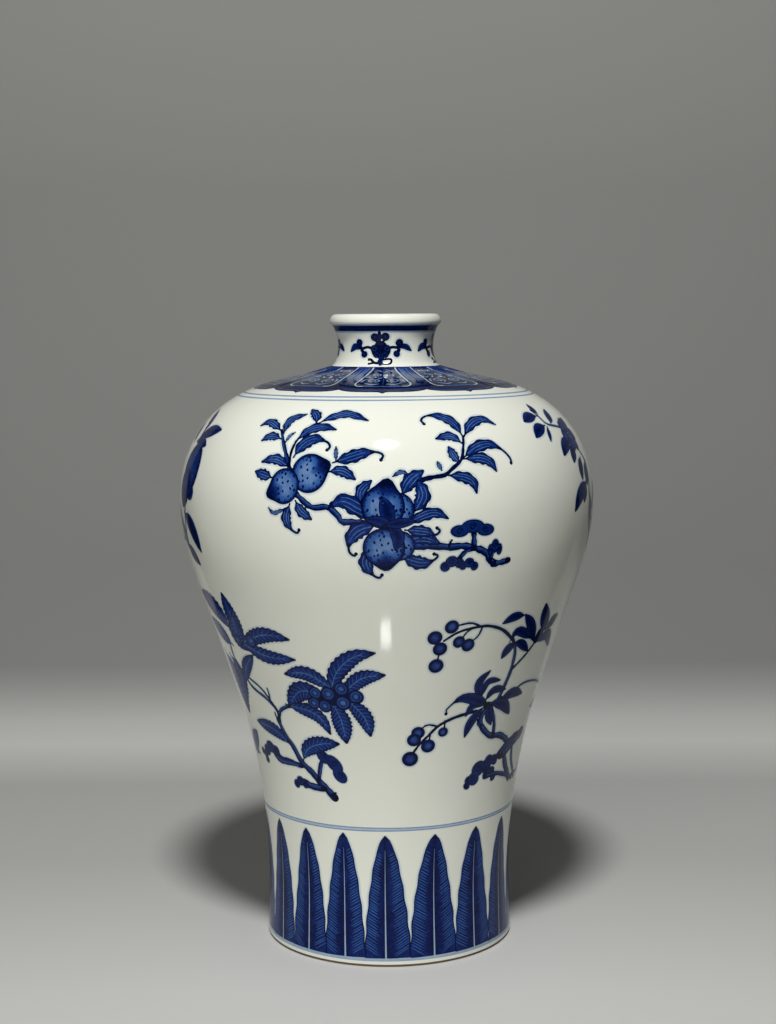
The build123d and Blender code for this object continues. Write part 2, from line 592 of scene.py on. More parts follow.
def around(centre, local, lean=0.0):
    """Points given in millimetres about a centre, turned by a lean in degrees."""
    turn = math.radians(lean)
    x = local[:, 0] * math.cos(turn) - local[:, 1] * math.sin(turn)
    y = local[:, 0] * math.sin(turn) + local[:, 1] * math.cos(turn)
    scale = radius_at(centre[1] + y) / TURN
    return np.column_stack([centre[0] + x / scale, centre[1] + y])


def ribbon(path, near, far, tones, layer=1):
    """Cobalt between two lines beside a path, with the tone of each line."""
    first, second = tones if isinstance(tones, tuple) else (tones, tones)
    right, left = beside(path, near), beside(path, far)
    quads = []
    for i in range(len(path) - 1):
        corners = np.array([right[i], right[i + 1], left[i + 1], left[i]])
        quads.append((layer, corners, (first, first, second, second)))
    return quads


def bled(path, half):
    """The faint blue that bleeds into the glaze along both edges of a stroke."""
    return ribbon(path, half, half + bleed, (bleed_tone, 0.0), 0) + ribbon(
        path, -half - bleed, -half, (0.0, bleed_tone), 0)


def line(path, width, tone):
    """A brush line of one width, or of a width for each point."""
    half = np.broadcast_to(width, len(path)) / 2
    return ribbon(path, -half, half, tone)


def oval(centre, wide, high, tone, lean=0.0, sides=18, layer=1):
    """A dab of so many millimetres each way from its centre."""
    turns = np.linspace(0, 2 * math.pi, sides, endpoint=False)
    local = np.column_stack([wide * np.cos(turns), high * np.sin(turns)])
    return [(layer, around(centre, local, lean), (tone,) * sides)]


def disc(centre, radius, tone, sides=10):
    """A round dab."""
    return oval(centre, radius, radius, tone, 0.0, sides)


def hoop(centre, radius, width, tone, sides=14):
    """A thin ring."""
    turns = np.linspace(0, 2 * math.pi, sides + 1)
    path = around(centre, radius * np.column_stack([np.cos(turns), np.sin(turns)]))
    return line(path, width, tone)


def curl(centre, radius, turns, start, width, tone, inner=0.25):
    """A line that winds inwards to its centre, or the other way round for turns below zero."""
    count = max(6, int(abs(turns) * 14))
    angles = math.radians(start) + np.linspace(0, 2 * math.pi * turns, count)
    reach = radius * np.linspace(1, inner, count)
    path = around(centre, reach[:, None] * np.column_stack([np.cos(angles), np.sin(angles)]))
    return line(path, width, tone)


def branch(path, start, end, knots=0.12):
    """A woody branch that thins from one width to another, with knots and a pale side."""
    path = even(path, max(6, int(lengths_of(path)[-1] / bark_step)))
    steps = np.arange(len(path))
    half = np.linspace(start, end, len(path)) / 2 * (1 + knots * np.sin(2.4 * steps) * np.sin(0.9 * steps))
    strokes = bled(path, half) + ribbon(path, -half, half, outline_tone)
    strokes += disc(path[0], half[0], outline_tone) + disc(path[-1], half[-1], outline_tone)
    if min(start, end) > bark_least:
        strokes += ribbon(path[1:-1], -half[1:-1] * 0.40, half[1:-1] * 0.55, bark_tones)
    return strokes


def leaf_widths(path, width, blade, tail):
    """How far through its blade each point of a leaf's path is, and half the leaf's width there."""
    lengths = lengths_of(path)
    share = np.clip(lengths / lengths[-1] / blade, 0, 1)
    grown = np.clip((share - stalk_share) / (1 - stalk_share), 0, 1)
    half = leaf_fullness * width / 2 * grown ** leaf_swell * (1 - grown) ** leaf_taper / leaf_peak
    return share, np.maximum(half, np.where(share < 0.3, stalk_half, tail))


def bough(start, end, *pixels):
    """A branch through pixels of the photograph, with its width at each end."""
    return branch(photo_line(pixels), start, end)


def each(brush, rows):
    """The strokes that a brush paints for each row of its sizes and pixels."""
    return [stroke for row in rows for stroke in brush(*row)]


def peach_leaf(width, *pixels, hooked=False):
    """A long leaf with a wavy edge, a streaked wash and, on some, a tip that curls into a hook."""
    path = even(photo_line(pixels), leaf_points)
    share, half = leaf_widths(path, width, *(hooked_blade if hooked else plain_blade))
    wavy = half * (1 + 0.11 * np.sin(share * 27))
    strokes = bled(path, half) + ribbon(path, -wavy, wavy, outline_tone)
    strokes += washes(path, share, wavy, peach_wash)
    for offset, first, last in peach_veins:
        strokes += streak(path, share, half * offset, first, last, vein_width)
    if hooked:
        strokes += disc(path[-1], 0.92, outline_tone)
    return strokes


def hooked_peach_leaf(width, *pixels):
    """A peach leaf whose tip curls."""
    return peach_leaf(width, *pixels, hooked=True)


def washes(path, share, half, tones):
    """The wash on both halves of a leaf, inside its dark edge."""
    inner = half - leaf_edge
    inside = (inner > 0.25) & (share > 0.05) & (share < 0.93)
    wash = path[inside]
    if len(wash) < 2:
        return []
    return ribbon(wash, 0.0, inner[inside], tones) + ribbon(wash, -inner[inside], 0.0, tones[::-1])


def streak(path, share, offset, first, last, width):
    """A pale vein that runs along a leaf, where the brush left less cobalt."""
    inside = (share >= first) & (share <= last)
    vein = beside(path, offset)[inside]
    if len(vein) < 3:
        return []
    taper = width * (0.35 + 0.65 * np.sin(np.linspace(0.15, 0.9, len(vein)) * math.pi))
    return line(vein, taper, vein_tone)


def turned(strokes, degrees):
    """The same strokes, further round the vase."""
    step = np.array([TURN * math.radians(degrees), 0])
    return [(layer, corners + step, tones) for layer, corners, tones in strokes]


def mirrored(strokes, degrees):
    """The strokes as a mirror at an angle shows them."""
    middle = 2 * TURN * math.radians(degrees)
    return [(layer, corners * (-1, 1) + (middle, 0), tones) for layer, corners, tones in strokes]


def ring(bottom, top, tones):
    """A line painted round the vase on the turning wheel."""
    turn = math.pi * TURN
    across = np.linspace(-turn, turn, columns + 1)
    sway = 0.06 * np.sin(across / TURN * 3) + 0.04 * np.sin(across / TURN * 7 + 1)
    path = np.column_stack([across, np.full(columns + 1, bottom)])
    return ribbon(path, sway, top - bottom + sway[::-1], tones)


def simple_shapes(corners, tones):
    """A stroke's piece as it is if its corners run round, and else as the triangles that it crosses into."""
    straight = 1e-7
    sliver = 1e-5
    steps = np.roll(corners, -1, axis=0) - corners
    ahead = np.roll(steps, -1, axis=0)
    bends = steps[:, 0] * ahead[:, 1] - steps[:, 1] * ahead[:, 0]
    if (bends > straight).all():
        return [(corners, tones)]
    if (bends < -straight).all():
        return [(corners[::-1], tones[::-1])]
    halves = []
    for picked in ((0, 1, 2), (0, 2, 3)):
        a, b, c = corners[list(picked)]
        area = (b[0] - a[0]) * (c[1] - a[1]) - (b[1] - a[1]) * (c[0] - a[0])
        if abs(area) > sliver:
            order = picked if area > 0 else picked[::-1]
            halves.append((corners[list(order)], tuple(tones[i] for i in order)))
    return halves


def tone_slope(corners, tones):
    """The flat slope of tone that fits a piece's corners best."""
    sides = np.column_stack([np.ones(len(corners)), corners])
    return np.linalg.lstsq(sides, np.array(tones), rcond=None)[0]


def tones_under(centres, shapes, shades):
    """The tone's slope at each centre: that of the last shape painted over it, or none on bare clay.

    The shapes are convex and run anticlockwise."""
    order = np.argsort(centres[:, 0])
    sorted_x = centres[order, 0]
    slopes = np.zeros((len(centres), 3))
    for shape, tones in zip(shapes, shades):
        first, last = np.searchsorted(sorted_x, (shape[:, 0].min(), shape[:, 0].max()))
        near = order[first:last]
        x, y = centres[near].T
        covered = (y > shape[:, 1].min()) & (y < shape[:, 1].max())
        for a, b in zip(shape, np.roll(shape, -1, axis=0)):
            covered &= (b[0] - a[0]) * (y - a[1]) >= (b[1] - a[1]) * (x - a[0])
        slopes[near[covered]] = tone_slope(shape, tones)
    return slopes


def painted_band(name, bottom, top, row_step, strokes):
    """A coat between two lengths up the outline, its skin cut along the strokes that are painted on it."""
    turn = math.pi * TURN
    wide = columns + 1
    nearest = 1e-5
    rows = rows_between(bottom, top, row_step)
    points = [(x, y) for y in rows for x in np.linspace(-turn, turn, wide)]
    top_row = range((len(rows) - 1) * wide, len(rows) * wide)
    cuts = [(i, i + 1) for i in range(columns)] + [(i, i + 1) for i in top_row[:-1]]
    for j in range(len(rows) - 1):
        for i in (0, columns // 4, 3 * columns // 4, columns):
            cuts.append((j * wide + i, (j + 1) * wide + i))
    shapes = []
    shades = []
    for _, corners, tones in sorted(strokes, key=lambda stroke: stroke[0]):
        for shift in (-2 * turn, 0.0, 2 * turn):
            moved = corners + (shift, 0)
            if moved[:, 0].max() > -turn and moved[:, 0].min() < turn:
                for shape, shade in simple_shapes(moved, tones):
                    start = len(points)
                    points.extend((float(x), float(y)) for x, y in shape)
                    cuts += [(start + i, start + (i + 1) % len(shape)) for i in range(len(shape))]
                    shapes.append(shape)
                    shades.append(shade)
    cut = delaunay_2d_cdt([Vector(point) for point in points], cuts, [], 0, nearest, True)
    places = np.array([tuple(place) for place in cut[0]])
    skin = np.array(cut[2])
    centres = places[skin].mean(axis=1)
    skin = skin[(np.abs(centres[:, 0]) < turn) & (centres[:, 1] > bottom) & (centres[:, 1] < top)]
    slopes = tones_under(places[skin].mean(axis=1), shapes, shades)
    corners = places[skin]
    tones = slopes[:, None, 0] + slopes[:, None, 1] * corners[:, :, 0] + slopes[:, None, 2] * corners[:, :, 1]
    made = {source: index for index, origin in enumerate(cut[3]) for source in origin}
    edges = [[made[i] for i in range(wide)], [made[i] for i in top_row]]
    sheet = np.column_stack([places[:, 0] / TURN, places[:, 1] * MM, np.zeros(len(places))]).tolist()
    return wrapped_coat(
        name, outer_outline, sheet, skin.tolist(), np.clip(tones, 0, 1).ravel().tolist(), edges, rows,
        cobalt_glaze, "outer_glaze")


def ramped(nodes, links, factor, depths):
    """The colour that a factor picks between stops, each a position and a colour."""
    ramp = nodes.new("ShaderNodeValToRGB")
    links.new(factor, ramp.inputs["Fac"])
    stops = ramp.color_ramp.elements
    stops[0].position, stops[0].color = depths[0]
    stops[1].position, stops[1].color = depths[-1]
    for position, colour in depths[1:-1]:
        stops.new(position).color = colour
    return ramp.outputs["Color"]


def painted_glaze(name):
    """Glaze over cobalt: the paint heaped and piled by the brush, under the same cloudy near whites."""
    material, nodes, links, shader = empty_material(name)
    paint = nodes.new("ShaderNodeAttribute")
    paint.attribute_name = "cobalt"
    grain = noise(nodes, links, grain_scale, 4.0)
    pools = noise(nodes, links, pool_scale, 2.0)
    heaped = sum_of(nodes, links, "MULTIPLY_ADD", grain, grain_share, thin_paint)
    piled = sum_of(nodes, links, "MULTIPLY_ADD", pools, pool_share, heaped)
    depth = sum_of(nodes, links, "MULTIPLY", paint.outputs["Fac"], piled)
    seen = ramped(nodes, links, depth, cobalt_depths)
    clouds = blend(nodes, links, noise(nodes, links, cloud_scale), glaze_white, glaze_green)
    colour = blend(nodes, links, 1.0, clouds, seen, "MULTIPLY")
    links.new(colour, shader.inputs["Base Color"])
    glassy(nodes, links, shader)
    return material


cobalt_glaze = painted_glaze("painted_glaze")


# The foot band. Eighteen upright leaves stand side by side on a pale ring, under a double ring.
# Each has a white midrib, a dark heart and a paler margin that the brush hatched towards the rib.
leaf_count = 18
front_tips = (
    (279.5, 819.0), (306.0, 828.5), (343.3, 834.0), (385.1, 835.5),
    (435.1, 833.0), (475.9, 826.0), (501.3, 817.0),
)
leaf_base = 3.2
leaf_tip = 68.0
leaf_lap = 1.02
margin_edge = 0.55
heart_share = 0.44
heart_tones = (0.88, 0.80)
margin_tones = (0.82, 0.74)
hatch_step = 1.42
hatch_drop = 0.62
hatch_widths = np.array([0.30, 0.48, 0.42, 0.16])
hatch_tone = 0.54
rib_end = 0.88
rib_widths = (0.85, 0.08)
rib_tone = 0.26
foot_ring = (1.6, 3.2)
foot_ring_tone = 0.26
upper_ring = (length_at(71.1), length_at(73.2))
upper_ring_tones = (0.33, 0.20)
foot_top = 76.8
foot_row = 3.6

hand = random.Random(18)


def plantain_leaf(middle, rooms):
    """One upright leaf, whose base fills the room to the left and to the right of its middle."""
    lean = hand.uniform(-0.35, 0.35)
    tip = leaf_tip + hand.uniform(-0.8, 0.6)
    share = np.linspace(0, 1, 25)
    up = leaf_base + share * (tip - leaf_base)
    scale = radius_at(up) / TURN
    rib_across = middle + (lean * np.sin(share * math.pi) + 0.3 * lean * share) / scale
    rib = np.column_stack([rib_across, up])
    swell = (1 - share ** 1.72) ** 0.62 - 0.035 * np.sin(math.pi * share) ** 2
    strokes = []
    for way, room in zip((1, -1), rooms):
        wavy = 1 + 0.028 * np.sin(share * 31 + middle + way)
        half = np.maximum(room * swell * wavy, 0.05)
        strokes += ribbon(rib, way * half, way * (half + bleed), (bleed_tone, 0.0), 0)
        strokes += ribbon(rib, 0.0, way * half, outline_tone)
        inner = half - margin_edge
        inside = inner > 0.6
        heart, reach_out = rib[inside], way * inner[inside]
        strokes += ribbon(heart, 0.0, heart_share * reach_out, heart_tones)
        strokes += ribbon(heart, heart_share * reach_out, reach_out, margin_tones)
        for level_up in np.arange(leaf_base + 1.2, tip - 8.0, hatch_step):
            begin = level_up + hand.uniform(-0.25, 0.25)
            outer = float(np.interp(begin, up, inner))
            root = outer * hand.uniform(0.34, 0.50)
            drop = hatch_drop * (outer - root)
            if begin - drop < leaf_base + 0.4 or outer < 1.6:
                continue
            scale_here = float(radius_at(begin)) / TURN
            middle_here = float(np.interp(begin, up, rib_across))
            start = (middle_here - way * (outer - 0.15) / scale_here, begin)
            end = (middle_here - way * root / scale_here, begin - drop)
            widths = hatch_widths * hand.uniform(0.75, 1.05)
            strokes += line(smooth([start, end], 3), widths, hatch_tone)
    bright = share < rib_end
    return strokes + line(rib[bright], np.interp(share[bright], (0, rib_end), rib_widths), rib_tone)


foot_strokes = ring(*foot_ring, foot_ring_tone)
middles = [spot(tip)[0] for tip in front_tips]
spare = leaf_count - len(middles) + 1
gap = (2 * math.pi * TURN + middles[0] - middles[-1]) / spare
middles += [middles[-1] + gap * (k + 1) for k in range(spare - 1)]
for k, middle in enumerate(middles):
    before = (middle - middles[k - 1]) % (2 * math.pi * TURN)
    after = (middles[(k + 1) % leaf_count] - middle) % (2 * math.pi * TURN)
    half_gaps = [leaf_lap * room / 2 * float(radius_at(leaf_base)) / TURN for room in (before, after)]
    foot_strokes += plantain_leaf(middle, half_gaps)
rise = upper_ring[1] - upper_ring[0]
foot_strokes += ring(*upper_ring, upper_ring_tones[0])
foot_strokes += ring(upper_ring[0] + 0.3 * rise, upper_ring[0] + 0.7 * rise, upper_ring_tones[1])
painted_band("foot_band_glaze", 0.0, foot_top, foot_row, foot_strokes)


# The lower register. Two kinds of spray, loquats and cherries, take turns round the flank, two of each.
# Loquat leaves are broad, toothed and ribbed; cherries hang in bunches from an old branch with funguses.
lower_top = 200.2
lower_row = 3.6
loquat_wash = (0.68, 0.80)
loquat_teeth = (0.92, 1.06)
leaf_vein_tone = 0.52
leaf_vein_widths = np.array([0.32, 0.28, 0.14])
midrib_width = 0.38
side_vein_reach = 0.74
cherry_rings = ((0.0, 0.60), (0.42, 0.67), (0.68, 0.90), (1.0, 0.98))
loquat_rings = ((0.0, 0.62), (0.7, 0.64), (0.82, 0.92), (1.0, 0.95))
calyx_ring_tone = 0.92
calyx_eye_tone = 0.50
cherry_edge_tone = 0.98
cherry_wash = (0.90, 0.72)
cherry_leaf_points = 14
cherry_blade = (1.0, 0.2)
cherry_hooked_blade = (0.8, 0.44)
beak_width = 0.34
beak_shadow = 0.66
beak_shadow_width = 0.50
fungus_bleed = 0.55
fungus_curl = 1.4
fungus_wash_tone = 0.74

loquat_leaves = (
    (15.0, (233, 633), (217, 609), (202, 591)),
    (14.0, (247, 648), (232, 618), (221, 592)),
    (12.0, (234, 646), (223, 633), (212, 617)),
    (15.0, (231, 612), (237, 634), (249, 651)),
    (10.0, (240, 644), (264, 635), (290, 640)),
    (9.4, (238, 640), (266, 656), (296, 660)),
    (17.0, (224, 647), (236, 674), (250, 713)),
    (9.0, (247, 684), (246, 668), (253, 655)),
    (11.0, (329, 698), (337, 672), (354, 657), (376, 653)),
    (10.0, (340, 697), (361, 679), (386, 675)),
    (9.6, (337, 692), (307, 674), (284, 674)),
    (12.4, (329, 698), (301, 691), (289, 708)),
    (9.2, (285, 704), (309, 711), (322, 720), (331, 735)),
    (11.4, (331, 700), (341, 720), (347, 744)),
    (10.0, (343, 696), (364, 717), (371, 737)),
    (9.4, (292, 746), (275, 730), (257, 720)),
    (10.6, (303, 762), (308, 749), (322, 744), (340, 744)),
    (11.0, (261, 754), (256, 744), (257, 730)),
    (12.0, (229, 652), (240, 672), (248, 704)),
)
loquats = (
    (3.8, (251, 641)), (3.4, (238, 640)), (3.5, (314, 703)), (3.7, (315, 693)), (3.7, (325, 706)),
    (4.1, (328, 694)), (4.1, (341, 689)), (4.2, (343, 703)), (4.0, (356, 697)),
)
loquat_shade = (333, 698)
loquat_shade_size = (11.0, 4.5)
loquat_branches = (
    (1.5, 2.2, (229, 638), (234, 656), (243, 671), (252, 686), (266, 698), (277, 710), (280, 721)),
    (1.2, 1.5, (245, 674), (260, 687), (271, 701), (277, 711)),
    (1.5, 0.8, (270, 700), (269, 694), (267, 688)),
    (1.5, 0.8, (279, 720), (276, 716), (275, 712)),
    (2.6, 4.2, (278, 719), (285, 734), (293, 746), (302, 762), (312, 772), (319, 781), (326, 788),
     (335, 798)),
    (2.2, 1.6, (279, 717), (281, 710), (290, 706), (307, 704)),
    (2.6, 5.6, (302, 766), (291, 762), (281, 759), (275, 751)),
    (2.4, 2.4, (326, 755), (321, 764), (319, 780)),
    (4.4, 3.4, (304, 782), (312, 786), (325, 789)),
    (1.6, 1.0, (332, 795), (334, 794), (336, 793)),
)
loquat_funguses = (
    (15.0, 8.4, 8, (271, 748)), (9.0, 5.6, -52, (266, 754)),
    (21.5, 8.8, -50, (333, 765)), (9.6, 6.6, 6, (301, 782)),
)

cherries = (
    (3.7, (452, 627)), (3.8, (435, 638)), (3.7, (440, 649)), (3.9, (436, 666)), (3.3, (459, 642)),
    (3.6, (468, 645)), (3.5, (418, 733)), (3.6, (414, 740)), (3.7, (428, 746)), (4.1, (410, 759)),
    (2.7, (443, 732)),
)
cherry_stems = (
    (2.0, 1.2, (513, 640), (503, 630), (490, 626), (478, 627), (465, 630), (455, 634), (444, 641)),
    (1.2, 1.0, (480, 626), (471, 623), (456, 626)),
    (1.1, 0.9, (473, 628), (467, 632), (461, 640)),
    (1.1, 0.9, (482, 628), (478, 636), (471, 642)),
    (1.1, 0.9, (441, 650), (438, 658), (437, 664)),
    (2.0, 1.2, (476, 711), (459, 716), (447, 721), (437, 727), (429, 735), (419, 745), (411, 756)),
    (1.1, 0.9, (436, 726), (427, 725), (419, 731)),
    (1.1, 0.9, (445, 721), (444, 730)),
    (1.1, 0.9, (430, 734), (429, 743)),
)
cherry_branches = (
    (2.9, 2.1, (497, 702), (509, 675), (513, 662), (515, 650), (513, 639)),
    (1.7, 1.2, (512, 669), (525, 655), (534, 643), (545, 626)),
    (1.5, 1.1, (510, 694), (523, 683), (534, 680), (539, 682)),
    (3.0, 4.0, (488, 704), (480, 722), (489, 735), (500, 735), (507, 742), (504, 752), (505, 765),
     (508, 778)),
    (2.0, 2.4, (491, 704), (494, 722), (493, 735)),
    (6.4, 7.6, (521, 731), (514, 739), (508, 746), (501, 753)),
    (4.4, 3.4, (515, 735), (506, 744), (497, 756)),
    (2.6, 2.2, (512, 742), (511, 760), (513, 776)),
    (2.6, 2.4, (484, 777), (498, 773), (511, 777)),
    (2.0, 1.6, (481, 726), (478, 724), (478, 720)),
    (2.4, 1.8, (511, 774), (516, 768), (517, 762)),
    (3.4, 2.6, (486, 706), (493, 703), (501, 698)),
)
cherry_leaves = (
    (5.8, (526, 615), (514, 617), (502, 624)),
    (7.4, (534, 644), (531, 625), (525, 614)),
    (9.6, (545, 632), (545, 614), (546, 603)),
    (7.6, (545, 630), (551, 622), (558, 614)),
    (7.5, (535, 643), (547, 634), (548, 646)),
    (6.8, (532, 646), (540, 633), (547, 624)),
    (6.2, (509, 643), (518, 631), (531, 638)),
    (6.2, (517, 642), (508, 649), (501, 659)),
    (5.6, (511, 645), (520, 643), (528, 651)),
    (6.0, (481, 702), (479, 684), (491, 670)),
    (4.6, (481, 698), (488, 682), (501, 680)),
    (5.3, (484, 702), (494, 690), (506, 689)),
    (5.3, (488, 704), (474, 705), (465, 717)),
    (6.1, (485, 705), (471, 722), (464, 738)),
    (7.1, (496, 706), (511, 693), (522, 693)),
    (7.3, (489, 704), (503, 704), (509, 714)),
    (6.3, (489, 702), (489, 716), (491, 725)),
    (8.5, (541, 680), (536, 694), (529, 707)),
)
cherry_hooked_leaf = (7.2, (490, 706), (474, 699), (460, 699), (447, 709), (446, 714))
fungus_lobes = ((-0.30, -0.14, 0.21, 0.36), (0.30, -0.14, 0.21, 0.36), (0.0, 0.10, 0.27, 0.40))
cherry_funguses = (
    (9.0, 6.0, 46, (469, 781)), (17.0, 10.6, 38, (479, 770)),
    (12.0, 9.0, 30, (489, 762)), (11.0, 7.6, -20, (490, 773)),
)


def loquat_leaf(width, *pixels):
    """A broad toothed leaf, with a pale midrib and pale side veins that lean towards its tip."""
    path = even(photo_line(pixels), leaf_points)
    share, half = leaf_widths(path, width, *plain_blade)
    teeth = half * np.take(loquat_teeth, np.arange(len(path)) % 2)
    strokes = bled(path, half) + ribbon(path, -teeth, teeth, outline_tone)
    strokes += washes(path, share, half, loquat_wash)
    for i in range(3, len(path) - 5, 2):
        for way in (-1, 1):
            ends = [path[i], beside(path, side_vein_reach * way * half)[i + 2]]
            strokes += line(smooth(ends, 2), leaf_vein_widths, leaf_vein_tone)
    return strokes + streak(path, share, 0.0, 0.10, 0.86, midrib_width)


def cherry_leaf(width, *pixels, hooked=False):
    """A small dark leaf with no veins."""
    return dark_leaf(photo_line(pixels), width, hooked)


def dark_leaf(path, width, hooked=False):
    """A small dark leaf along a path of the painter's sheet."""
    path = even(path, cherry_leaf_points)
    share, half = leaf_widths(path, width, *(cherry_hooked_blade if hooked else cherry_blade))
    strokes = bled(path, half) + ribbon(path, -half, half, cherry_edge_tone)
    strokes += washes(path, share, half, cherry_wash)
    if hooked:
        strokes += disc(path[-1], 0.95, cherry_edge_tone)
    return strokes


def fruit(centre, radius, rings, beak=0.0, toward=90.0, flatten=1.0, sides=20):
    """A round fruit in rings of wash, each a share of the radius and a tone, with or without a beak."""
    turns = np.linspace(0, 2 * math.pi, sides + 1)
    aside = (turns - math.radians(toward) + math.pi) % (2 * math.pi) - math.pi
    swell = 1 + beak * np.exp(-(aside / beak_width) ** 2)
    shadow = beak_shadow * np.exp(-(aside / beak_shadow_width) ** 2) if beak else 0.0 * aside
    way = np.column_stack([np.cos(turns), flatten * np.sin(turns)]) * swell[:, None]
    strokes = []
    edge = around(centre, radius * way)
    rim = around(centre, (radius + bleed) * way)
    for i in range(sides):
        corners = np.array([edge[i], rim[i], rim[i + 1], edge[i + 1]])
        strokes.append((0, corners, (bleed_tone, 0, 0, bleed_tone)))
    for (inner, inner_tone), (outer, outer_tone) in zip(rings, rings[1:]):
        near = around(centre, inner * radius * way)
        far = around(centre, outer * radius * way)
        low = np.minimum(1, inner_tone + shadow * inner)
        high = np.minimum(1, outer_tone + shadow * outer)
        for i in range(sides):
            corners = np.array([near[i], far[i], far[i + 1], near[i + 1]])
            strokes.append((1, corners, (low[i], high[i], high[i + 1], low[i + 1])))
    return strokes


def cherry(radius, pixel):
    """A cherry: a dark rim round a paler middle."""
    return fruit(spot(pixel), radius, cherry_rings)


def loquat(radius, pixel):
    """A loquat: a mid-blue fruit in a dark ring, with the ring of its calyx and a pale eye."""
    centre = spot(pixel)
    strokes = fruit(centre, radius, loquat_rings)
    strokes += hoop(centre, 0.46 * radius, 0.42, calyx_ring_tone, 10)
    return strokes + disc(centre, 0.26 * radius, calyx_eye_tone, 7)


def fungus(span, rise, lean, pixel):
    """A cloud-shaped fungus: three lobes run together inside one dark edge, with a curl in each side lobe."""
    heart = np.array([[x * span, y * rise] for x, y, _, _ in fungus_lobes])
    lobes = [(place, wide * span, high * rise) for place, (_, _, wide, high)
             in zip(around(spot(pixel), heart, lean), fungus_lobes)]
    strokes = []
    wash = (-1.3 * leaf_edge, fungus_wash_tone, 1)
    for grown, tone, layer in ((fungus_bleed, bleed_tone, 0), (0.0, outline_tone, 1), wash):
        for place, wide, high in lobes:
            if min(wide, high) + grown > 0.3:
                strokes += oval(place, wide + grown, high + grown, tone, lean, 18, layer)
    for (place, wide, high), way in zip(lobes, (1, -1, 1)):
        size = 0.56 * min(wide, high)
        strokes += curl(place, size, fungus_curl * way, 90 - 90 * way + lean, 0.55, outline_tone)
    return strokes


loquat_spray = each(bough, loquat_branches) + each(fungus, loquat_funguses)
loquat_spray += each(loquat_leaf, loquat_leaves)
loquat_spray += oval(spot(loquat_shade), *loquat_shade_size, outline_tone)
loquat_spray += each(loquat, loquats)

cherry_spray = each(fungus, cherry_funguses) + each(bough, cherry_branches + cherry_stems)
cherry_spray += each(cherry_leaf, cherry_leaves) + cherry_leaf(*cherry_hooked_leaf, hooked=True)
cherry_spray += each(cherry, cherries)

lower_strokes = loquat_spray + cherry_spray + mirrored(loquat_spray, 45.0) + mirrored(cherry_spray, -45.0)
painted_band("lower_register_glaze", foot_top, lower_top, lower_row, lower_strokes)


# The upper register. A spray of three-year peaches faces the front and another the back, with sprays of
# pomegranate and of long-leaved flowers at the sides, each pair joined by a twig. Two thin rings close
# it below the shoulder.
upper_top = 310.1
upper_row = 7.0
shoulder_rings = ((304.2, 305.5), (307.6, 309.0))
shoulder_ring_tone = 0.31
peach_knots = 0.22
peach_rings = ((0.0, 0.41), (0.50, 0.44), (0.78, 0.55), (0.90, 0.74), (0.94, 0.95), (1.0, 0.98))
peach_bristles = 26
bristle_widths = np.array([0.80, 0.55, 0.18])
bristle_tone = 0.82
dot_tone = 0.86
golden_angle = math.radians(137.5)
pomegranate_rings = ((0.0, 0.62), (0.7, 0.70), (0.92, 0.90), (1.0, 0.96))
pomegranate_scales = 34
scale_hoop = (0.95, 0.3, 0.9)
petal_rings = ((0.0, 0.62), (0.7, 0.76), (1.0, 0.97))
petal_reach = 5.6
petal_radius = 4.0
bloom_radius = 2.8
bloom_ring = (1.5, 0.5, 0.46)
twig_width = 2.2

peach_branches = (
    (2.8, 3.2, (294, 492), (311, 507), (327, 507), (338, 516), (342, 522), (356, 522), (372, 525)),
    (2.8, 1.4, (291, 474), (287, 458), (284, 445), (282, 430)),
    (1.5, 1.0, (289, 465), (292, 450), (299, 438), (311, 428), (317, 423)),
    (3.8, 3.4, (404, 546), (434, 546), (450, 547), (463, 546), (475, 548), (485, 552), (490, 560),
     (496, 564)),
    (3.4, 3.0, (493, 564), (502, 562), (508, 560)),
    (2.6, 1.2, (412, 486), (422, 480), (434, 477), (445, 475), (453, 468), (461, 460), (463, 450),
     (463, 436)),
    (2.8, 3.0, (474, 531), (474, 541), (474, 548)),
    (2.2, 2.4, (474, 548), (465, 552), (459, 559)),
    (2.2, 2.2, (496, 549), (492, 554), (490, 560)),
    (1.4, 0.9, (449, 547), (450, 543), (452, 540)),
    (1.2, 0.9, (329, 508), (330, 504), (332, 502)),
)
peach_leaves = (
    (5.4, (282, 431), (271, 422), (260, 426)),
    (5.6, (283, 435), (291, 420), (308, 414)),
    (5.4, (282, 439), (271, 436), (261, 441)),
    (2.2, (285, 443), (290, 436), (296, 432)),
    (5.8, (316, 424), (317, 416), (312, 409)),
    (6.2, (317, 424), (333, 417), (349, 414), (369, 421)),
    (6.4, (295, 442), (310, 430), (324, 427), (337, 430)),
    (2.4, (336, 462), (336, 453), (336, 446)),
    (6.2, (327, 472), (342, 471), (356, 480)),
    (6.0, (291, 468), (276, 459), (261, 462)),
    (6.2, (273, 478), (262, 474), (255, 471)),
    (2.4, (286, 508), (274, 513), (268, 507)),
    (6.0, (295, 500), (301, 511), (312, 520)),
    (9.6, (379, 521), (358, 508), (343, 501), (329, 507)),
    (6.4, (361, 505), (361, 491), (372, 480)),
    (2.6, (410, 475), (401, 472), (392, 477)),
    (8.2, (401, 497), (410, 481), (424, 470)),
    (8.4, (413, 514), (423, 496), (417, 479)),
    (6.4, (404, 525), (425, 515), (437, 513), (449, 519)),
    (7.2, (402, 541), (424, 538), (441, 544)),
    (6.4, (463, 438), (471, 424), (482, 419), (496, 425)),
    (5.6, (463, 444), (450, 436), (435, 439)),
    (6.8, (462, 459), (480, 458), (490, 462), (497, 472)),
    (5.4, (460, 464), (454, 456), (448, 446)),
    (6.4, (446, 475), (463, 477), (473, 482), (477, 494)),
    (2.6, (442, 471), (439, 465), (437, 461)),
)
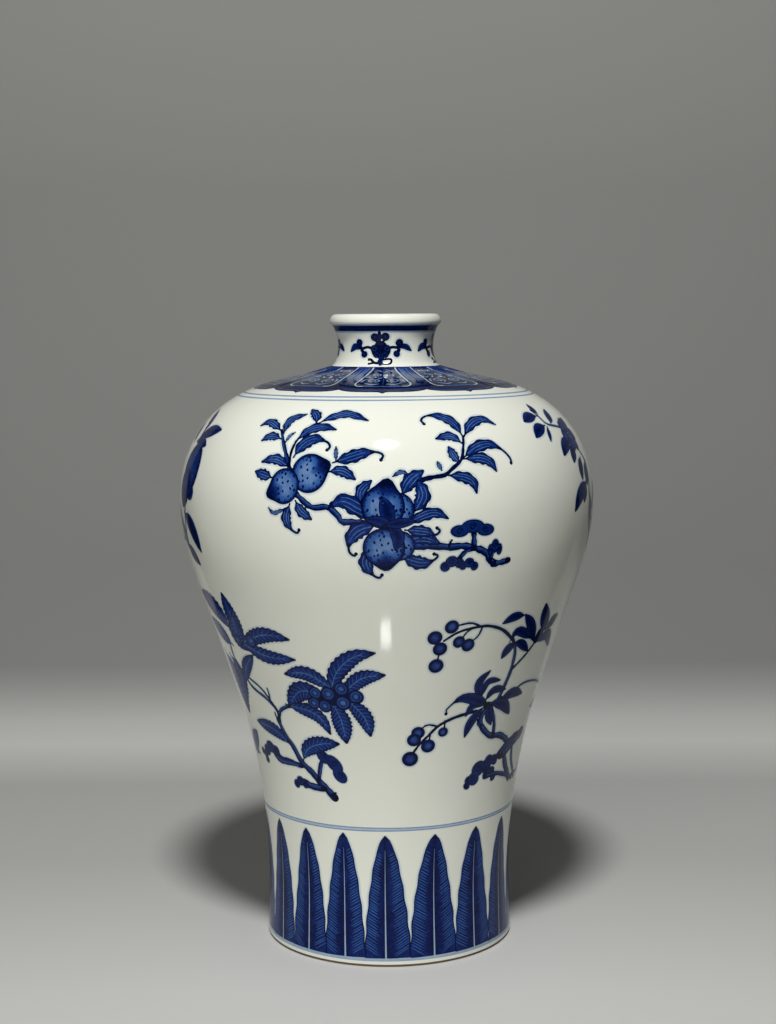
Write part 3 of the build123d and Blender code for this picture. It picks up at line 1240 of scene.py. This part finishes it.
peach_hooked_leaves = (
    (7.8, (293, 458), (303, 445), (315, 439), (327, 442), (330, 447), (327, 450)),
    (7.6, (332, 463), (351, 457), (364, 453), (376, 452), (383, 455), (381, 460)),
    (6.0, (290, 503), (286, 518), (291, 529), (297, 533), (299, 530)),
    (9.0, (378, 525), (359, 530), (350, 540), (349, 551), (354, 556), (356, 554)),
    (8.0, (371, 546), (366, 563), (372, 574), (379, 578), (382, 575)),
    (6.6, (404, 530), (426, 532), (435, 535), (440, 531), (437, 528)),
    (7.8, (401, 557), (420, 563), (432, 561), (438, 556), (434, 554)),
    (6.8, (463, 437), (452, 422), (438, 416), (426, 416), (421, 420), (424, 424)),
    (6.8, (462, 459), (475, 448), (488, 444), (501, 449), (510, 458), (511, 463)),
)
behind_peaches = ((8.4, 1.0, 60, 0.0, (397, 510)), (7.8, 0.96, 300, 0.0, (399, 546)))
front_peaches = (
    (9.2, 1.06, 24, 0.24, (309, 473)), (8.0, 1.10, 205, 0.34, (284, 486)),
    (10.4, 1.0, 80, 0.34, (383, 507)), (10.2, 0.94, 275, 0.22, (384, 548)),
)
calyx_heart = (390, 526)
calyx_radius = 2.4
peach_calyx = (
    (8.4, (391, 529), (387, 511), (381, 496)),
    (7.4, (388, 523), (398, 537), (395, 551)),
    (5.6, (396, 528), (379, 521), (364, 519)),
    (5.6, (382, 526), (402, 523), (417, 521)),
)
peach_funguses = (
    (22.5, 8.4, 0, (473, 528)), (8.2, 8.2, 0, (495, 547)),
    (12.0, 7.2, 12, (452, 563)), (10.0, 6.4, -6, (469, 564)),
)

pomegranates = ((12.0, 1.15, (191, 468)), (9.0, 1.1, (185, 486)))
pomegranate_leaves = (
    (6.0, (201, 436), (211, 422), (220, 409)),
    (9.0, (197, 441), (209, 432), (222, 430)),
    (7.0, (197, 441), (201, 441), (206, 446)),
    (7.0, (194, 443), (200, 431), (207, 421)),
    (8.0, (193, 484), (191, 491), (188, 499)),
    (11.0, (184, 511), (192, 528), (202, 553)),
    (8.0, (188, 543), (194, 554), (201, 565)),
    (9.0, (183, 518), (186, 535), (191, 550)),
)
pomegranate_branches = (
    (2.4, 2.0, (186, 497), (185, 512), (187, 534)),
    (2.0, 1.6, (195, 458), (198, 443), (204, 432)),
)
pomegranate_fork = ((0.0, 0.0), (-7.0, -3.0), (-16.0, -3.0), (-27.0, 1.0), (-37.0, 7.0))
pomegranate_fork_leaves = (
    (7.0, (-8.0, -3.0), (-9.0, 6.0), (-15.0, 15.0)),
    (6.6, (-13.0, -3.5), (-17.0, -10.0), (-26.0, -14.0)),
    (7.6, (-20.0, -1.5), (-20.0, 9.0), (-26.0, 20.0)),
    (6.6, (-24.0, 0.0), (-29.0, -5.0), (-37.0, -6.0)),
)

flower_branches = (
    (1.3, 1.9, (530, 410), (539, 417), (547, 424), (561, 428), (574, 442), (579, 450), (585, 461)),
    (1.9, 2.4, (585, 461), (588, 476), (589, 492)),
)
bloom_heart = (569, 435)
petal_count = 6
flower_fork = ((0.0, 0.0), (4.0, -9.0), (12.0, -16.0), (23.0, -16.0), (36.0, -9.0))
flower_fork_leaves = (
    (6.6, (5.0, -10.0), (11.0, -5.0), (14.0, 5.0)),
    (7.0, (11.0, -15.5), (9.0, -24.0), (13.0, -34.0)),
    (6.6, (19.0, -17.5), (22.0, -8.0), (21.0, 3.0)),
    (7.0, (23.0, -17.0), (22.0, -27.0), (25.0, -36.0)),
)
flower_leaves = (
    (4.6, (538, 415), (532, 409), (526, 404)),
    (7.2, (537, 416), (530, 416), (524, 422)),
    (7.4, (545, 425), (539, 429), (536, 438)),
    (3.2, (547, 426), (549, 433), (551, 442)),
    (6.0, (551, 424), (548, 416), (544, 409)),
    (9.0, (561, 430), (563, 422), (560, 417)),
    (8.0, (568, 437), (565, 446), (564, 456)),
    (7.4, (572, 443), (573, 452), (574, 463)),
    (7.4, (580, 456), (581, 468), (583, 481)),
    (7.6, (584, 460), (586, 472), (587, 486)),
    (9.4, (586, 480), (580, 496), (575, 512)),
    (8.0, (586, 482), (585, 492), (584, 503)),
    (9.4, (589, 490), (590, 510), (588, 534)),
)


def peach(radius, flatten, toward, beak, pixel):
    """A peach: a pale blue cheek with a dark beak, brushed in from its edge and stippled all over."""
    centre = np.array(spot(pixel))
    strokes = fruit(centre, radius, peach_rings, beak, toward, flatten, 36)

    def place(turn, out):
        return np.array([math.cos(turn), flatten * math.sin(turn)]) * out * radius

    for k in range(peach_bristles):
        turn = 2 * math.pi * k / peach_bristles + 0.08 * math.sin(4.7 * k)
        depth = 0.78 - 0.07 * math.sin(2.9 * k)
        bristle = around(centre, np.array([place(turn, 0.93), place(turn + 0.05, depth)]))
        strokes += line(smooth(bristle, 2), bristle_widths, bristle_tone)
    dots = int(1.5 * radius ** 1.2)
    for k in range(1, dots):
        turn = k * golden_angle + 0.3 * math.sin(5.3 * k)
        middle = around(centre, place(turn, 0.86 * math.sqrt(k / dots))[None])[0]
        size = 0.66 + 0.20 * math.sin(3.1 * k)
        strokes += oval(middle, 0.8 * size, 1.2 * size, dot_tone, 40 * math.sin(1.7 * k), 7)
    return strokes


def pomegranate(radius, flatten, pixel):
    """A ripe pomegranate, scaled with small hoops."""
    centre = np.array(spot(pixel))
    strokes = fruit(centre, radius, pomegranate_rings, 0.2, 250, flatten, 24)
    for k in range(1, pomegranate_scales):
        turn = k * golden_angle
        place = np.array([[math.cos(turn), flatten * math.sin(turn)]]) * 0.88 * radius
        place *= math.sqrt(k / pomegranate_scales)
        strokes += hoop(around(centre, place)[0], *scale_hoop, 8)
    return strokes


def bloom(pixel, petals):
    """An open flower: round petals with dark edges about a ringed heart."""
    centre = np.array(spot(pixel))
    strokes = []
    for k in range(petals):
        turn = 2 * math.pi * k / petals
        petal = around(centre, petal_reach * np.array([[math.cos(turn), math.sin(turn)]]))[0]
        strokes += fruit(petal, petal_radius, petal_rings, sides=12)
    return strokes + disc(centre, bloom_radius, outline_tone) + hoop(centre, *bloom_ring, 10)


def fork(pixel, bends, leaves):
    """A twig that leads on from a pixel, with its bends and leaves in millimetres from there."""
    root = spot(pixel)
    strokes = branch(smooth(around(root, np.array(bends))), twig_width, twig_width)
    for width, *way in leaves:
        strokes += dark_leaf(smooth(around(root, np.array(way))), width)
    return strokes


peach_spray = []
for start, end, *way in peach_branches:
    peach_spray += branch(photo_line(way), start, end, peach_knots)
peach_spray += each(fungus, peach_funguses)
peach_spray += each(peach_leaf, peach_leaves) + each(hooked_peach_leaf, peach_hooked_leaves)
peach_spray += each(peach, behind_peaches + front_peaches)
peach_spray += disc(spot(calyx_heart), calyx_radius, outline_tone) + each(cherry_leaf, peach_calyx)

pomegranate_spray = each(bough, pomegranate_branches) + each(pomegranate, pomegranates)
pomegranate_spray += each(cherry_leaf, pomegranate_leaves)
pomegranate_spray += fork(pomegranate_branches[0][-1], pomegranate_fork, pomegranate_fork_leaves)

flower_spray = each(bough, flower_branches) + each(cherry_leaf, flower_leaves)
flower_spray += bloom(bloom_heart, petal_count)
flower_spray += fork(flower_branches[1][-1], flower_fork, flower_fork_leaves)

upper_strokes = peach_spray + mirrored(peach_spray, 90.0)
upper_strokes += pomegranate_spray + mirrored(pomegranate_spray, -90.0)
upper_strokes += flower_spray + mirrored(flower_spray, 90.0)
for low, high in shoulder_rings:
    upper_strokes += ring(low, high, shoulder_ring_tone)
painted_band("upper_register_glaze", lower_top, upper_top, upper_row, upper_strokes)


# The collar. Ten lappets hang from the neck over the shoulder, each a dark panel of scrolls inside a
# white line, with hatched wedges between them and a drop at the middle of each scalloped hem.
lappet_count = 10
lappet_first = -1.4
lappet_sway = 1.9
lappet_drop = spot((382.4, 393.6))[1]
lappet_hem = spot((370.0, 392.2))[1]
lappet_notch = spot((338.3, 389.8))[1]
panel_foot = spot((382.0, 386.4))[1]
collar_top = spot((382.0, 366.8))[1]
collar_end = collar_top + 0.3
panel_height = collar_top - panel_foot
collar_row = 2.6
panel_foot_share = 0.72
panel_top_share = 0.56
ground_levels = (0.0, 0.30, 0.65, 1.0)
ground_tones = (0.95, 0.90, 0.78, 0.66)
hem_tones = (0.98, 0.60)
hem_widths = (0.9, 0.7)
hem_gap = 1.5
stripe_places = (0.80, 0.87, 0.94)
stripe_width = 0.42
stripe_tone = 0.44
panel_steps = 8
panel_tone = 0.97
panel_fade = 0.02
panel_sill = (0.8, 0.50)
frame_width = 0.74
frame_tone = 0.19
scroll_stem = (0.4, 0.62)
scroll_tone = 0.32
scroll_width = 0.72
scroll_curls = ((0.30, 0.30, 3.6, 1.5, 250), (0.26, 0.62, 2.5, 1.3, 250), (0.50, 0.50, 1.5, 1.1, 70))
scroll_leaves = (
    ((0.10, 0.12), (0.30, 0.09), (0.52, 0.17)),
    ((0.60, 0.22), (0.56, 0.34), (0.44, 0.40)),
    ((0.08, 0.80), (0.24, 0.86), (0.42, 0.80)),
    ((0.05, 0.48), (0.12, 0.44), (0.20, 0.47)),
)
# Two pale dots in each lappet are painted highlights, set where the lamp glints on the collar's glaze.
scroll_painted_highlights = ((0.6, 0.10, -0.26), (0.95, 0.08, 0.08))


def lappet_middle(k):
    """The angle of a lappet's middle: the painter set those in front a little further apart."""
    step = 360 / lappet_count
    sway = math.sin(math.radians(step * k)) / math.sin(math.radians(step))
    return lappet_first + step * k + lappet_sway * sway


def lappet(k):
    """One lappet, with places given by shares of its half width and by lengths up the outline."""
    middle = lappet_middle(k)
    sides = ((lappet_middle(k - 1) + middle) / 2, (lappet_middle(k + 1) + middle) / 2)

    def across(share):
        return TURN * np.radians(np.interp(share, (-1, 0, 1), (sides[0], middle, sides[1])))

    def place(share, rise):
        return np.column_stack([across(np.asarray(share)), panel_foot + np.asarray(rise) * panel_height])

    share = np.linspace(-1, 1, 33)
    hem = lappet_hem + (lappet_notch - lappet_hem) * np.abs(share) ** 5
    hem -= (lappet_hem - lappet_drop) * np.exp(-(share / 0.055) ** 2)
    strokes = []
    for tier in range(len(ground_levels) - 1):
        low_tone, high_tone = ground_tones[tier:tier + 2]
        lower, upper = (hem + up * (collar_top - hem) for up in ground_levels[tier:tier + 2])
        for i in range(len(share) - 1):
            left, right = across(share[i:i + 2])
            low_edge = [(left, lower[i]), (right, lower[i + 1])]
            high_edge = [(right, upper[i + 1]), (left, upper[i])]
            strokes.append((1, np.array(low_edge + high_edge), (low_tone, low_tone, high_tone, high_tone)))
    edge = np.column_stack([across(share), hem + 0.5])
    strokes += line(edge, hem_widths[0], hem_tones[0])
    inside = np.abs(share) < 0.9
    strokes += line(edge[inside] + (0, hem_gap), hem_widths[1], hem_tones[1])
    for way in (-1, 1):
        for out in stripe_places:
            stripe = place((way * out, way * (out - 0.03)), (0.30, 0.96))
            strokes += line(stripe, stripe_width, stripe_tone)
    foot, top = panel_foot_share, panel_top_share
    sides_up = np.linspace(0, 1, panel_steps + 1)
    span = foot + (top - foot) * sides_up
    for i in range(panel_steps):
        low_l, low_r = place((-span[i], span[i]), (sides_up[i],) * 2)
        high_l, high_r = place((-span[i + 1], span[i + 1]), (sides_up[i + 1],) * 2)
        low_tone, high_tone = (panel_tone - panel_fade * tier for tier in (i, i + 1))
        corners = np.array([low_l, low_r, high_r, high_l])
        strokes.append((1, corners, (low_tone, low_tone, high_tone, high_tone)))
    strokes += line(place((-foot + 0.2, foot - 0.2), (0.0, 0.0)), *panel_sill)
    for way in (-1, 1):
        frame_share = [way * x for x in (top, foot - 0.015, foot, foot - 0.02, foot - 0.11, foot - 0.24)]
        frame_rise = (0.985, 0.26, 0.16, 0.07, 0.01, 0.0)
        strokes += line(smooth(place(frame_share, frame_rise), 6), frame_width, frame_tone)
    return strokes + lappet_scroll(place)


def lappet_scroll(place):
    """The scrolls in a lappet: a stem, three pairs of curls, four pairs of leaves and two painted highlights.
    """
    strokes = line(smooth(place((0.0, 0.02, 0.0), (0.12, 0.5, 0.92)), 5), *scroll_stem)
    for way in (-1, 1):
        for out, rise, radius, turns, start in scroll_curls:
            centre = place((way * out,), (rise,))[0]
            begin = start if way > 0 else 180 - start
            strokes += curl(centre, radius, -way * turns, begin, scroll_width, scroll_tone)
        for points in scroll_leaves:
            path = smooth(place([way * x for x, _ in points], [y for _, y in points]), 5)
            widths = 0.95 * np.sin(np.linspace(0.12, 0.95, len(path)) * math.pi) + 0.1
            strokes += line(path, widths, scroll_tone)
    # Two pale dots: painted highlights of the lamp.
    for radius, tone, out in scroll_painted_highlights:
        strokes += disc(place((out,), (0.50,))[0], radius, tone, 8)
    return strokes


collar_strokes = []
for k in range(lappet_count):
    collar_strokes += lappet(k - lappet_count // 2)
painted_band("collar_glaze", upper_top, collar_end, collar_row, collar_strokes)


# The neck and the rolled lip. Four scrolled sprigs stand round the neck under a dark band, and the lip
# above it is left white.
sprig_angles = (0.0, 87.0, 180.0, 270.0)
lip_band = (spot((382.0, 330.9))[1], spot((382.0, 325.8))[1])
lip_band_tones = (0.90, 0.82)
# Either side of the band a pale blue fades out: partly the cobalt's bleed, partly painted shade under the
# rolled lip.
lip_bleeds_and_shade = ((-1.5, 0.3, (0.0, 0.44)), (-0.3, 1.7, (0.52, 0.0)))
neck_row = 0.8
neck_ink = 0.97
knob_rings = ((0.0, 0.70), (0.34, 0.92), (1.0, 0.98))

sprig_lines = (
    (1.5, (372.5, 348.6), (367.4, 347.2), (361.6, 349.0)),
    (1.5, (389.0, 348.2), (393.0, 347.2), (400.0, 348.0)),
    (1.9, (359.8, 342.5), (360.3, 345.6), (361.4, 348.3)),
    (1.9, (361.4, 349.2), (363.2, 352.2), (364.8, 354.6)),
    (1.9, (399.2, 342.9), (399.4, 345.6), (399.6, 348.3)),
    (1.9, (399.4, 348.4), (398.2, 351.4), (396.8, 354.0)),
    (1.3, (374.2, 339.6), (376.8, 341.4), (379.8, 342.6)),
    (1.3, (385.6, 338.8), (383.4, 341.2), (380.4, 342.6)),
    (2.2, (380.1, 341.4), (380.4, 344.0), (380.6, 347.0)),
    (1.4, (374.0, 362.8), (370.9, 359.7), (367.8, 359.6)),
    (1.2, (367.8, 363.9), (370.2, 363.6), (374.0, 362.8)),
    (1.5, (374.0, 362.8), (377.0, 363.2), (380.2, 362.8)),
    (1.1, (381.6, 359.7), (390.0, 359.0), (391.4, 361.3), (389.3, 363.9), (381.6, 363.9)),
)
sprig_leaves = (
    (2.6, (379.8, 344.0), (379.4, 337.0), (379.2, 329.6)),
    (3.9, (362.6, 349.6), (355.8, 346.4), (350.7, 352.0)),
    (3.4, (397.6, 348.4), (404.6, 346.2), (411.8, 351.0)),
    (3.0, (380.4, 357.0), (380.2, 361.4), (380.2, 366.0)),
)
sprig_knobs = (
    (2.2, (374.8, 337.2)), (2.2, (385.4, 336.6)), (1.9, (359.6, 342.6)), (1.8, (364.4, 354.4)),
    (2.1, (399.4, 342.8)), (1.8, (396.7, 353.8)),
)
rosette_petals = (
    (2.1, (374.4, 348.8)), (2.1, (387.0, 348.8)), (1.9, (376.6, 354.6)), (1.9, (385.2, 354.6)),
    (1.9, (380.9, 356.2)),
)
sprig_rosette = (380.9, 350.9)
rosette_radius = 5.0
rosette_flatten = 0.78
rosette_rings = ((0.0, 0.94), (1.0, 0.98))
rosette_crown = (380.6, 345.6)
crown_size = (3.2, 2.4)
petal_ring_tone = 0.68

sprig = []
for width, *way in sprig_lines:
    sprig += line(photo_line(way), width, neck_ink)
sprig += each(cherry_leaf, sprig_leaves)
for radius, place in sprig_knobs:
    sprig += fruit(spot(place), radius, knob_rings, sides=12)
sprig += fruit(spot(sprig_rosette), rosette_radius, rosette_rings, flatten=rosette_flatten)
sprig += oval(spot(rosette_crown), *crown_size, neck_ink)
for radius, place in rosette_petals:
    sprig += disc(spot(place), radius, neck_ink)
    sprig += hoop(spot(place), 0.50 * radius, 0.30, petal_ring_tone, 9)

neck_strokes = []
# Pale blue rings either side of the band: partly the cobalt's bleed, partly painted shade under the rolled
# lip.
for edge, (below, above, tones) in zip(lip_band, lip_bleeds_and_shade):
    neck_strokes += ring(edge + below, edge + above, tones)
for degrees in sprig_angles:
    neck_strokes += turned(sprig, degrees)
band_rise = lip_band[1] - lip_band[0]
neck_strokes += ring(*lip_band, lip_band_tones[0])
neck_strokes += ring(lip_band[0] + 0.4 * band_rise, lip_band[0] + 0.6 * band_rise, lip_band_tones[1])
painted_band("neck_and_lip_glaze", collar_end, along[-1], neck_row, neck_strokes)


# The studio. A pale grey floor sweeps up into a darker backdrop, under one small lamp overhead.
# The paper's greys are painted light and shade. A broad soft lamp fills the flank from in front, black
# cards stand beside the vase, and a low pane glints in its belly.
# These greys are painted light and shade: darker just behind the vase, a painted bright band further back on
# the floor, and greys that rise again far up the sweep to make up for the lamps' fall-off.
painted_paper_light = (
    (-0.10, 0.66), (0.12, 0.54), (0.30, 0.56), (0.42, 0.86), (0.50, 0.82),
    (0.72, 0.46), (1.02, 0.47), (1.70, 0.60), (1.90, 0.76),
)
room_grey = (0.050, 0.050, 0.048, 1.0)
card_black = (0.02, 0.02, 0.02, 1.0)
paper_roughness = 0.75
card_roughness = 0.9
pane_height = 0.015
floor_front = -3.0
floor_back = 0.62
sweep_radius = 1.4
backdrop_height = 3.0
half_width = 3.0


def paper_with_painted_light(name):
    """A matt paper, its greys changing with the depth behind the vase: painted light and shade."""
    material, nodes, links, shader = empty_material(name)
    places = nodes.new("ShaderNodeTexCoord")
    apart = nodes.new("ShaderNodeSeparateXYZ")
    links.new(places.outputs["Object"], apart.inputs[0])
    depth = nodes.new("ShaderNodeMapRange")
    nearest, furthest = painted_paper_light[0][0], painted_paper_light[-1][0]
    depth.inputs["From Min"].default_value = nearest
    depth.inputs["From Max"].default_value = furthest
    links.new(apart.outputs["Y"], depth.inputs["Value"])
    stops = []
    for y, grey in painted_paper_light:
        stops.append(((y - nearest) / (furthest - nearest), (grey, grey, 0.985 * grey, 1.0)))
    links.new(ramped(nodes, links, depth.outputs[0], stops), shader.inputs["Base Color"])
    shader.inputs["Roughness"].default_value = paper_roughness
    return material


def paper(name, outline, finish):
    """A wide sheet of paper along an outline of depths and heights."""
    points = [(x, y, z) for y, z in outline for x in (-half_width, half_width)]
    faces = [(2 * i, 2 * i + 1, 2 * i + 3, 2 * i + 2) for i in range(len(outline) - 1)]
    mesh = bpy.data.meshes.new(name)
    mesh.from_pydata(points, [], faces)
    mesh.materials.append(finish)
    mesh.polygons.foreach_set("use_smooth", [True] * len(faces))
    put(name, mesh)


quarter = np.linspace(0, math.pi / 2, 49)
bend = [(floor_back + sweep_radius * math.sin(a), sweep_radius * (1 - math.cos(a))) for a in quarter]
paper("floor", [(floor_front, 0.0)] + bend + [(bend[-1][0], backdrop_height)], paper_with_painted_light("studio_paper_painted_light"))


def black_card(name, across, near, far, height):
    """A black card on the floor beside the vase, which shows in its gloss alone."""
    mesh = bpy.data.meshes.new(name)
    corners = [(across, near, 0), (across, far, 0), (across, far, height), (across, near, height)]
    mesh.from_pydata(corners, [], [(0, 1, 2, 3)])
    material, _, _, shader = empty_material(name)
    shader.inputs["Base Color"].default_value = card_black
    shader.inputs["Roughness"].default_value = card_roughness
    mesh.materials.append(material)
    card = put(name, mesh)
    card.visible_camera = False
    card.visible_shadow = False


black_card("right_card", across=0.31, near=-0.50, far=0.14, height=0.55)
black_card("left_card", across=-0.38, near=-0.25, far=0.35, height=0.50)


def soft_lamp(name, place, target, size, power, colour):
    """A round soft lamp that shines at a target."""
    lamp = bpy.data.lights.new(name, "AREA")
    lamp.shape = "DISK"
    lamp.size = size
    lamp.energy = power
    lamp.color = colour
    shining = put(name, lamp)
    shining.location = place
    shining.rotation_euler = (Vector(target) - Vector(place)).to_track_quat("-Z", "Y").to_euler()
    shining.visible_camera = False
    return shining


soft_lamp(
    "overhead_lamp", place=(0.0, -0.76, 1.46), target=(0.0, 0.0, 0.15),
    size=0.21, power=17.6, colour=(1.0, 1.0, 0.98))
fill = soft_lamp(
    "front_fill", place=(-0.88, -2.1, 0.52), target=(0.0, 0.0, 0.17),
    size=1.3, power=14.5, colour=(1.0, 0.99, 0.93))
fill.visible_glossy = False
pane = soft_lamp(
    "low_pane", place=(-0.004, -0.2405, 0.015), target=(0.0, -0.093, 0.178),
    size=0.024, power=0.042, colour=(1.0, 1.0, 0.97))
pane.data.shape = "RECTANGLE"
pane.data.size_y = pane_height
pane.visible_diffuse = False
world = bpy.data.worlds.new("room")
world.use_nodes = True
world.node_tree.nodes["Background"].inputs["Color"].default_value = room_grey
bpy.context.scene.world = world
bpy.context.scene.view_settings.view_transform = "Standard"
